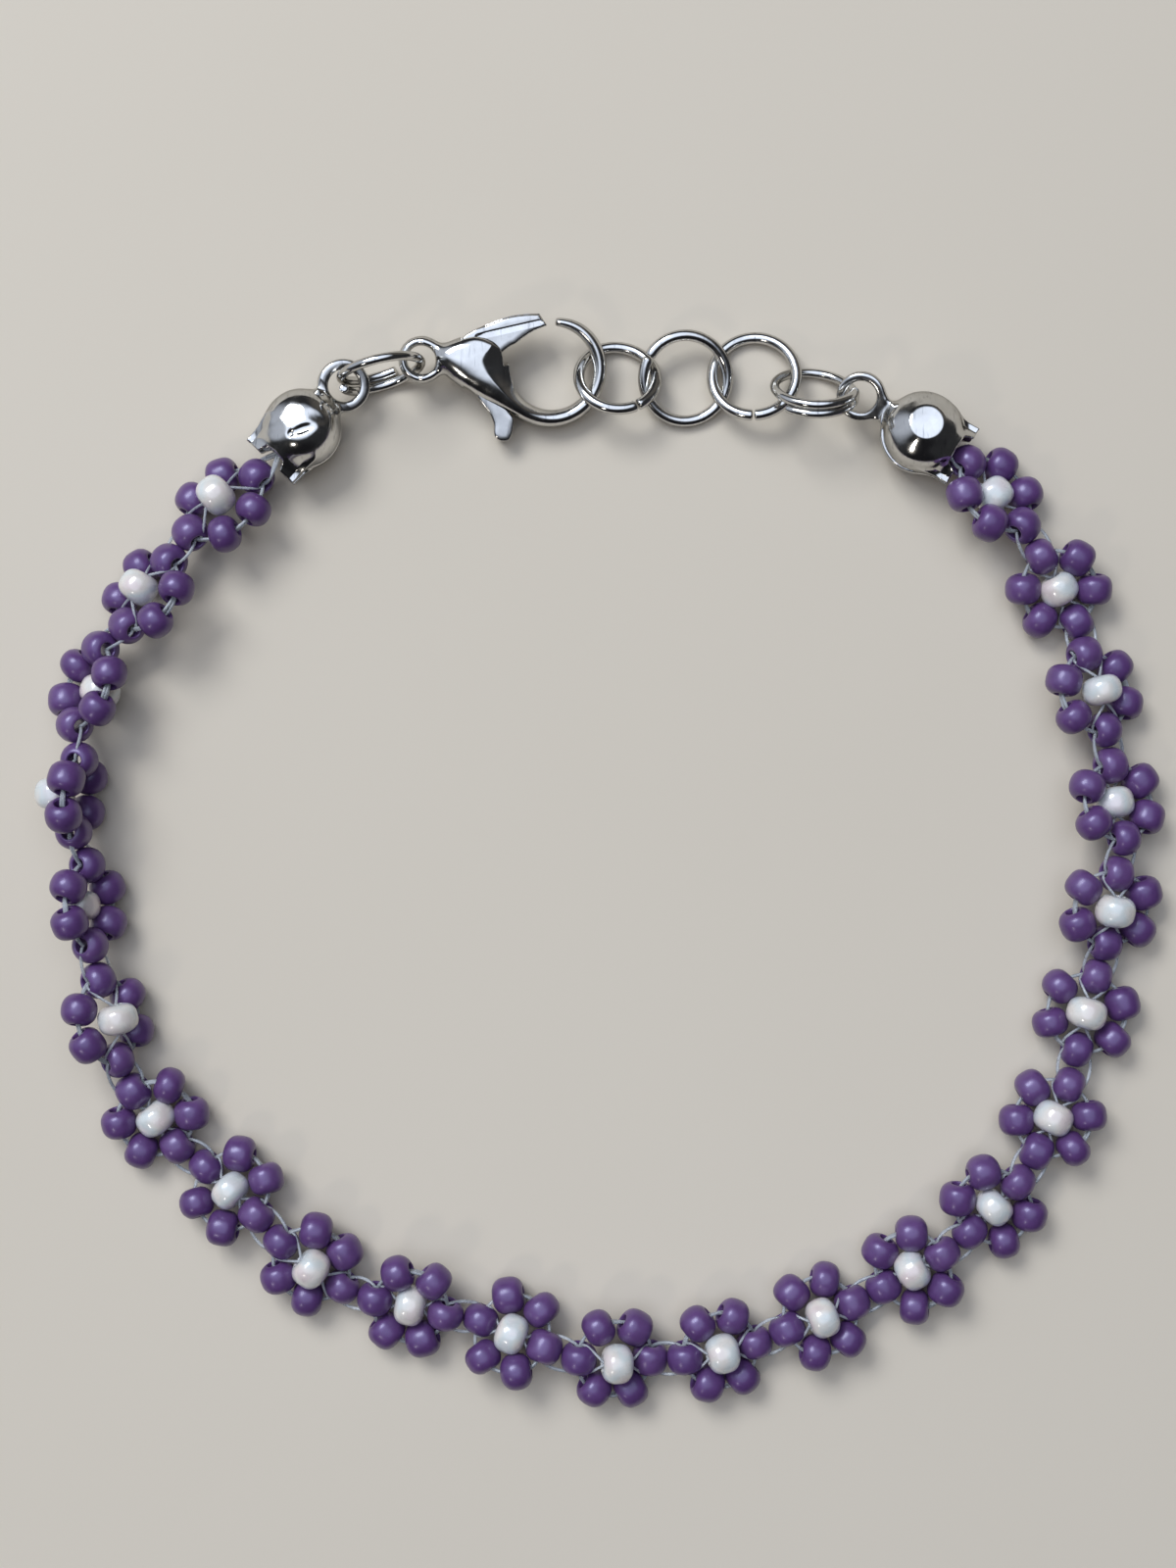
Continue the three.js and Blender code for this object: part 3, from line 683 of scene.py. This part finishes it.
def tip_field(cup, loop, outer, hole, roll, notch_half, lower_at, lean, dents, body, fold, droop, seed):
    turn = math.radians(roll)
    ears = [(0.9, -1.80), (2.68, -1.80), (2.68, -notch_half), (2.12, 0.2 - notch_half), (2.04, 0.0),
            (2.12, notch_half - 0.2), (2.68, notch_half), (2.68, 1.80), (0.9, 1.80)]
    R, H, power, edge, cone = body

    def field(p):
        x, y, z = p[:, 0], p[:, 1], p[:, 2]
        up = dome(leaned(p, *lean), R, H, 2.12, power, edge, cone)
        lowp = p - np.array([lower_at[0], lower_at[1], 0])
        low = dome(lowp, cup + 0.05, 2.36, 2.115, 2.2, 0.5)
        for dx, dy, rx, ry, deg, deep in dents:
            c, t = math.cos(math.radians(deg)), math.sin(math.radians(deg))
            a, b = (x - dx) * c + (y - dy) * t, (y - dy) * c - (x - dx) * t
            up = up + deep * np.exp(-((a / rx) ** 2 + (b / ry) ** 2) ** 1.4) * (z > 0)
        up = up + 0.026 * ripples(p, seed) * np.clip(z / 0.4, 0, 1)
        plan = outline(ears, p[:, :2]) - 0.03
        arch = np.clip(1 - (y / 1.5) ** 2, 0, 1)
        rise = 0.20 + fold * arch + droop * (2.7 - x) + 0.08 * np.clip((x - 1.9) / 0.7, 0, 1) ** 2
        rise = np.maximum(rise + 0.03 * ripples(p * 1.6, seed + 1), 0.17)
        slope = 1 / np.sqrt(1 + droop ** 2)
        up_tab = smax(plan, (np.abs(z - rise) - 0.17) * slope, 0.07)
        low_tab = smax(plan, (np.abs(z + rise) - 0.17) * slope, 0.07)
        inner = dome(p, cup - 0.30, 1.80, 1.70, 2.0, 0.3)
        up = smax(smin(up, up_tab, 0.50), -(z + 0.07), 0.05)
        low = smax(smin(low, low_tab, 0.40), z - 0.07, 0.05)
        seam = 0.10 * np.clip(1 - np.abs(z) / 0.13, 0, 1)
        shell = smax(smin(up, low, 0.03) + seam, -inner, 0.08)
        mouth = smax(smax(1.2 - x, np.abs(y) - notch_half + 0.1, 0.2), np.abs(z) - rise + 0.16, 0.2)
        shell = smax(shell, -mouth, 0.08)
        notch = outline(ears, p[:, :2])
        shell = smax(shell, np.where((x > 1.6) & (np.abs(y) < 1.7), notch - 0.03, -1.0), 0.08)
        near = np.clip((-x - 1.9) / 0.9, 0, 1)
        ang = turn * (0.35 + 0.65 * near)
        a, b = y * np.cos(ang) + z * np.sin(ang), z * np.cos(ang) - y * np.sin(ang)
        rho = np.hypot(x + loop, a)
        mid, hw = (outer + hole) / 2, (outer - hole) / 2
        stem = loop - hole - 0.15
        flat = np.maximum(np.abs(x + (stem + 1.72) / 2) - (stem - 1.72) / 2, np.abs(a) - 0.66)
        plan = smax(smin(np.abs(rho - mid) - hw, flat, 0.45), hole - rho, 0.06)
        deep = np.clip(1 + plan / hw, 0, 4)
        stout = 0.285 + 0.16 * (1 - near) ** 2
        link = ((deep ** 3.3 + (np.abs(b) / stout) ** 3.3) ** (1 / 3.3) - 1) * 0.285
        return smax(smin(shell, link, 0.26 + 0.30 * (1 - near)), (hole - rho) * 0.9, 0.08)

    return field


TIP_LOOK = {
    # lower cup's offset, the upper cup's lean, dents (x, y, two radii, heading, depth) in the
    # tip's own frame, the upper cup (radius, height, power, softness of its crown's edge, cone
    # from a radius at an angle), the arch of the mouth, how far the tabs droop, seed
    "left": ((0.04, 0.06), (-0.06, -0.26),
             [(0.10, 0.40, 0.66, 0.26, 154, 0.17), (0.72, 0.06, 0.20, 0.16, 20, 0.09),
              (-0.20, -0.62, 0.55, 0.30, 60, 0.05), (-0.95, 0.55, 0.50, 0.34, 100, 0.07),
              (1.25, -0.85, 0.55, 0.40, 130, 0.08)],
             (2.22, 2.02, 2.45, 0.30, None), 0.55, 0.30, 3),
    "right": ((-0.07, -0.09), (-0.085, 0.14),
              [(1.30, -0.60, 0.60, 0.42, 30, 0.06), (-0.9, 1.0, 0.7, 0.5, 80, 0.04)],
              (2.26, 2.42, 2.7, 0.08, (0.98, 37)), 0.80, 0.05, 8),
}
for name, (x, y, head, cup, loop, outer, hole, roll, notch) in BEAD_TIPS.items():
    f = tip_field(cup, loop, outer, hole, roll, notch, *TIP_LOOK[name])
    pos, quads, nor = skin(f, (-loop - outer - 0.3, -2.6, -2.3), (3.0, 2.6, 2.4), 0.065)
    pos, nor = place(pos, nor, turn_z(head), (x, y, CUP_Z))
    piece = make(f"tip_cups_{name}", pos, quads.tolist(), PLATE, nor)
    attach(piece, "bracelet")
    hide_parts(f"clam_tip_{name}")

# -------------------------------------------------------------- wire rings
SPLIT_RINGS = {
    # name: x, y, z, head, lean, from, turn, lead
    "left": (-12.60, 28.18, 2.62, 16.0, 4.0, -71, -474, 0.62),
    "right": (12.36, 27.12, 2.19, -3.0, -36.1, 14, 480, 0.57),
}
for name, (x, y, z, head, lean, start, turn, lead) in SPLIT_RINGS.items():
    h, l = math.radians(head), math.radians(lean)
    ux = np.array([math.cos(h), math.sin(h), 0])
    uy = np.array([-math.sin(h) * math.sin(l), math.cos(h) * math.sin(l), math.cos(l)])
    axis = np.cross(ux, uy)
    t = np.linspace(0, 1, 190)[:, None]
    a = np.radians(start + t * turn)
    path = (np.array([x, y, z]) + 2.33 * (np.cos(a) * ux + np.sin(a) * uy)
            + axis * (t - 0.5) * abs(turn) / 360 * lead)
    s = Soup()
    tube(s, path, 0.268, 20, bevel=0.25)
    piece = make(f"split_coil_{name}", s.points(), s.f, PLATE)
    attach(piece, "bracelet")
    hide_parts(f"split_ring_{name}")

JUMP_RINGS = [
    # no, x, y, z, r, nx, ny, nz, cut
    (1, 0.98, 27.99, 1.38, 2.24, 0.051, 0.470, 0.881, -60),
    (2, 4.96, 28.03, 1.05, 2.47, 0.098, -0.271, 0.957, 150),
    (3, 8.95, 28.15, 1.07, 2.45, -0.109, 0.277, 0.955, -92),
]
for no, x, y, z, r, nx, ny, nz, cut in JUMP_RINGS:
    n = unit([nx, ny, nz])
    ux = unit(np.array([1.0, 0, 0]) - n * n[0])
    uy = np.cross(n, ux)
    slit = 0.05 / r
    a = np.linspace(math.radians(cut) + slit, math.radians(cut) + 2 * math.pi - slit, 150)[:, None]
    wob = 1 + 0.004 * np.cos(2 * a + no) + 0.003 * np.cos(3 * a)
    path = np.array([x, y, z]) + r * wob * (np.cos(a) * ux + np.sin(a) * uy)
    s = Soup()
    tube(s, path, 0.328, 22, bevel=0.18)
    piece = make(f"jump_ring_{no}", s.points(), s.f, PLATE)
    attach(piece, "bracelet")
    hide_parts(f"extender_ring_{no}")

# ------------------------------------------------------------------- clasp
CAST = np.array([
    # angle, inner, outer, half thickness
    (86.0, 2.42, 2.80, 0.22), (80.0, 2.39, 2.88, 0.36), (55.0, 2.38, 3.05, 0.46),
    (25.0, 2.38, 3.15, 0.50), (0.0, 2.39, 3.20, 0.52), (-30.0, 2.39, 3.24, 0.54),
    (-60.0, 2.40, 3.32, 0.60), (-90.0, 2.41, 3.40, 0.70), (-112.0, 2.41, 3.45, 0.84),
    (-130.0, 2.41, 3.58, 1.00), (-146.0, 2.40, 3.98, 1.14), (-158.0, 2.40, 4.62, 1.22),
    (-168.0, 2.40, 5.42, 1.26), (-176.0, 2.42, 6.18, 1.26), (-184.0, 2.45, 6.78, 1.24),
    (-190.0, 2.52, 6.52, 1.20), (-196.0, 2.66, 5.76, 1.10), (-201.0, 2.92, 5.06, 0.96),
    (-205.0, 3.45, 4.30, 0.60)])
CAST_AT = (-2.82, 28.55, 1.57)
ROLL, PITCH = math.radians(12.9), math.radians(3.5)
CAST_TURN = (np.array([[math.cos(PITCH), 0, math.sin(PITCH)], [0, 1, 0], [-math.sin(PITCH), 0, math.cos(PITCH)]])
             @ np.array([[1, 0, 0], [0, math.cos(ROLL), -math.sin(ROLL)], [0, math.sin(ROLL), math.cos(ROLL)]]))
EYE_AT = (-7.52, 0.37)
PIVOT_AT = np.array([-4.15, 0.0])
LEVER = [
    (-0.31, 2.41), (-0.75, 3.06), (-1.62, 3.02), (-2.49, 2.88), (-3.50, 2.52), (-4.66, 2.01),
    (-5.20, 1.55), (-5.14, 0.80), (-4.86, -0.50), (-4.22, -1.82), (-3.65, -2.56), (-3.36, -3.20),
    (-3.32, -3.86), (-3.00, -4.18), (-2.55, -4.18), (-2.34, -3.93), (-2.23, -3.50), (-2.20, -2.91),
    (-2.55, -2.42), (-3.10, -1.45), (-3.34, -0.30), (-3.10, 0.60), (-2.49, 1.17), (-2.12, 1.36),
    (-1.76, 1.65), (-1.18, 2.04), (-0.67, 2.27)]


def eased(rows, per=12):
    return spline(rows, per)


CAST_FINE = eased(CAST)[::-1]


def lever_outline():
    p = np.array(LEVER)
    body = spline(np.vstack([p[1:], p[:1]]), 5)     # sharp only at the gate's two corners
    return body


LEVER_FINE = lever_outline()
TABLE_STEP = 0.02
TABLE_LO = LEVER_FINE.min(0) - 0.5
TABLE_N = np.ceil((LEVER_FINE.max(0) + 0.5 - TABLE_LO) / TABLE_STEP).astype(int) + 1
_gx, _gy = (TABLE_LO[k] + TABLE_STEP * np.arange(TABLE_N[k]) for k in (0, 1))
LEVER_TABLE = outline(LEVER_FINE, np.stack(np.meshgrid(_gx, _gy, indexing="ij"), -1).reshape(-1, 2)).reshape(TABLE_N)


def lever_distance(p):
    """Signed distance to the lever's outline, from a fine table."""
    q = (p - TABLE_LO) / TABLE_STEP
    c = np.clip(q, 0, TABLE_N - 1.001)
    away = np.linalg.norm(q - c, axis=1) * TABLE_STEP
    i = c.astype(int)
    f = c - i
    T = LEVER_TABLE
    a, b = i[:, 0], i[:, 1]
    d = ((T[a, b] * (1 - f[:, 0]) + T[a + 1, b] * f[:, 0]) * (1 - f[:, 1])
         + (T[a, b + 1] * (1 - f[:, 0]) + T[a + 1, b + 1] * f[:, 0]) * f[:, 1])
    return d + away


def lever_field(p):
    d = lever_distance(p[:, :2])
    z = p[:, 2]
    dome = 0.58 - 0.03 * np.clip(1 - np.abs(d) / 0.35, 0, 1) ** 2
    f = smax(d, np.abs(z) - dome, 0.10)
    a, b = np.array([-4.3, 1.74]), np.array([-0.72, 2.58])
    e = b - a
    w = p[:, :2] - a
    t = np.clip((w @ e) / (e @ e), 0, 1)
    line = np.linalg.norm(w - t[:, None] * e, axis=1)
    groove = np.hypot(line, z - 0.735) - 0.200
    f = smax(f, -groove, 0.05)
    side = w[:, 0] * e[1] - w[:, 1] * e[0]
    shelf = np.where(side < 0, 0.05 * np.clip(line / 0.12, 0, 1) * np.clip(t / 0.15, 0, 1), 0) * (z > 0)
    f = f + shelf
    hole = np.hypot(p[:, 0] - PIVOT_AT[0], p[:, 1] - PIVOT_AT[1]) - 0.55
    return smax(f, -hole, 0.05)


def body_field(p):
    x, y, z = p[:, 0], p[:, 1], p[:, 2]
    ang = np.degrees(np.arctan2(y, x))
    ang = np.where(ang > 110, ang - 360, ang)
    r = np.hypot(x, y)
    inner, outer, thick = (np.interp(ang, CAST_FINE[:, 0], CAST_FINE[:, k]) for k in (1, 2, 3))
    mid, half = (inner + outer) / 2, (outer - inner) / 2
    X = (r - mid) / half
    wide = np.clip((-ang - 100) / 60, 0, 1)
    peak = -0.22 * wide
    Xw = np.where(X < peak, (X - peak) / (1 + peak), (X - peak) / (1 - peak))
    tail = np.clip((-ang - 165) / 20, 0, 1)
    pw = np.where(X < peak, 2.0 - 0.62 * wide, 2.0 + 0.35 * wide + 0.5 * tail)
    q = (np.abs(Xw) ** pw + np.abs(z / thick) ** pw) ** (1 / pw)
    f = (q - 1) * np.minimum(half, thick)
    fall = (np.sqrt(Xw ** 2 + 0.01) - 0.1) / 0.905     # rounds the ridge between the flanks
    slant = smax((np.abs(z) - thick * (1 - 0.56 * fall ** 1.12)) * 0.88,
                 (np.abs(Xw) - 1) * half * (1 + peak), 0.10)
    f = np.where(X < peak, f * (1 - wide) + slant * wide, f)
    f = smax(f, np.radians(ang - 86.0) * np.maximum(r, 0.5), 0.12)
    f = smax(f, np.radians(-205.0 - ang) * np.maximum(r, 0.5), 0.25)
    rho = np.hypot(x - EYE_AT[0], y - EYE_AT[1])
    eye = (np.sqrt(((rho - 1.06) / 0.28) ** 2 + (z / 0.44) ** 2) - 1) * 0.28
    for ax, ay, bx, by in ((-7.40, 1.38, -6.10, 0.92), (-7.40, -0.64, -6.10, -0.02)):
        wx, wy, ex, ey = x - ax, y - ay, bx - ax, by - ay
        t = np.clip((wx * ex + wy * ey) / (ex * ex + ey * ey), 0, 1)
        side = np.hypot(wx - t * ex, wy - t * ey)
        strut = (np.sqrt((side / 0.27) ** 2 + (z / 0.44) ** 2) - 1) * 0.27
        eye = smin(eye, strut, 0.16)
    f = smin(f, eye, 0.30)
    f = smax(f, 0.80 - rho, 0.08)
    slot = np.full(len(p), 1e9)
    near = r < 7.5
    q2 = p[near][:, :2] - PIVOT_AT
    best = np.full(len(q2), 1e9)
    for deg in (0, 5.5, 11, 16.5, 22):
        a = math.radians(deg)
        c, s = math.cos(a), math.sin(a)
        back = np.stack([c * q2[:, 0] - s * q2[:, 1], s * q2[:, 0] + c * q2[:, 1]], -1) + PIVOT_AT
        best = np.minimum(best, lever_distance(back))
    slot[near] = best
    cut = smax(slot - 0.09, np.abs(z) - 0.67, 0.03)
    corners = np.exp(-((x + 2.42) ** 2 + (y - 0.32) ** 2) / 0.12) + np.exp(-((x + 4.95) ** 2 + (y + 1.38) ** 2) / 0.12)
    f = smax(f, -cut, 0.07 + 0.22 * corners)
    pin = smax(np.hypot(x - PIVOT_AT[0], y - PIVOT_AT[1]) - 0.46, np.abs(z) - 1.0, 0.03)
    return np.minimum(f, pin)


pos, quads, nor = skin(body_field, (-9.1, -3.8, -1.6), (3.6, 4.6, 1.6), 0.058)
pos, nor = place(pos, nor, CAST_TURN, CAST_AT)
piece = make("clasp_casting", pos, quads.tolist(), CAST_PLATE, nor)
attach(piece, "bracelet")
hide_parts("clasp_body")

pos, quads, nor = skin(lever_field, (-5.6, -4.5, -0.9), (0.1, 3.4, 0.9), 0.046)
pos, nor = place(pos, nor, CAST_TURN, CAST_AT)
piece = make("clasp_gate", pos, quads.tolist(), CAST_PLATE, nor)
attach(piece, "lever")
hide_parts("clasp_lever")

# ------------------------------------------------------- floor and lighting
me = bpy.data.meshes.new("floor")
s = 0.9
me.from_pydata([(-s, -s, 0), (s, -s, 0), (s, s, 0), (-s, s, 0)], [], [(0, 1, 2, 3)])
me.materials.append(pale_floor())
floor = bpy.data.objects.new("floor", me)
floor.location = (0, 0, -0.00001)
bpy.context.scene.collection.objects.link(floor)


def soft_box(name, at, aim, size, power, colour):
    data = bpy.data.lights.new(name, "AREA")
    data.shape = "RECTANGLE"
    data.size, data.size_y = size
    data.energy = power
    data.color = colour
    ob = bpy.data.objects.new(name, data)
    ob.location = at
    d = np.array(aim, float) - np.array(at, float)
    ob.rotation_euler = Vector(d).to_track_quat("-Z", "Y").to_euler()
    bpy.context.scene.collection.objects.link(ob)
    return ob


soft_box("window_box", (-0.24, 0.32, 0.44), (0, 0, 0), (0.30, 0.22), 2.2, (0.92, 0.96, 1.0))
soft_box("small_box", (-0.20, -0.26, 0.30), (0, 0, 0), (0.05, 0.05), 0.14, (1.0, 0.95, 0.88))

world = bpy.data.worlds.new("studio")
world.use_nodes = True
wt = world.node_tree
wt.nodes.clear()
wo = wt.nodes.new("ShaderNodeOutputWorld")
bg = wt.nodes.new("ShaderNodeBackground")
wt.links.new(bg.outputs[0], wo.inputs["Surface"])
tc = wt.nodes.new("ShaderNodeTexCoord")


def lobe(direction, near, far):
    d = wt.nodes.new("ShaderNodeVectorMath")
    d.operation = "DOT_PRODUCT"
    d.inputs[1].default_value = tuple(unit(direction))
    wt.links.new(tc.outputs["Generated"], d.inputs[0])
    m = wt.nodes.new("ShaderNodeMapRange")
    m.interpolation_type = "SMOOTHSTEP"
    m.inputs["From Min"].default_value = math.cos(math.radians(far))
    m.inputs["From Max"].default_value = math.cos(math.radians(near))
    wt.links.new(d.outputs["Value"], m.inputs["Value"])
    return m.outputs["Result"]


colour = (0.030, 0.031, 0.034)
colour = blend_colour(wt, lobe((-1.0, 0.35, 0.55), 12, 42), colour, (0.55, 0.60, 0.70))
colour = blend_colour(wt, lobe((0.6, 0.8, 0.18), 8, 40), colour, (0.12, 0.11, 0.10))
colour = blend_colour(wt, lobe((-0.10, 0.26, 1.0), 22, 44), colour, (1.30, 1.44, 1.72))
colour = blend_colour(wt, lobe((0.0, -1.0, 0.25), 20, 50), colour, (0.012, 0.012, 0.014))
path = wt.nodes.new("ShaderNodeLightPath")
colour = blend_colour(wt, path.outputs["Is Camera Ray"], colour, (0.66, 0.63, 0.60))
wt.links.new(colour, bg.inputs["Color"])
bg.inputs["Strength"].default_value = 1.0
bpy.context.scene.world = world
bpy.context.scene.view_settings.view_transform = "Standard"
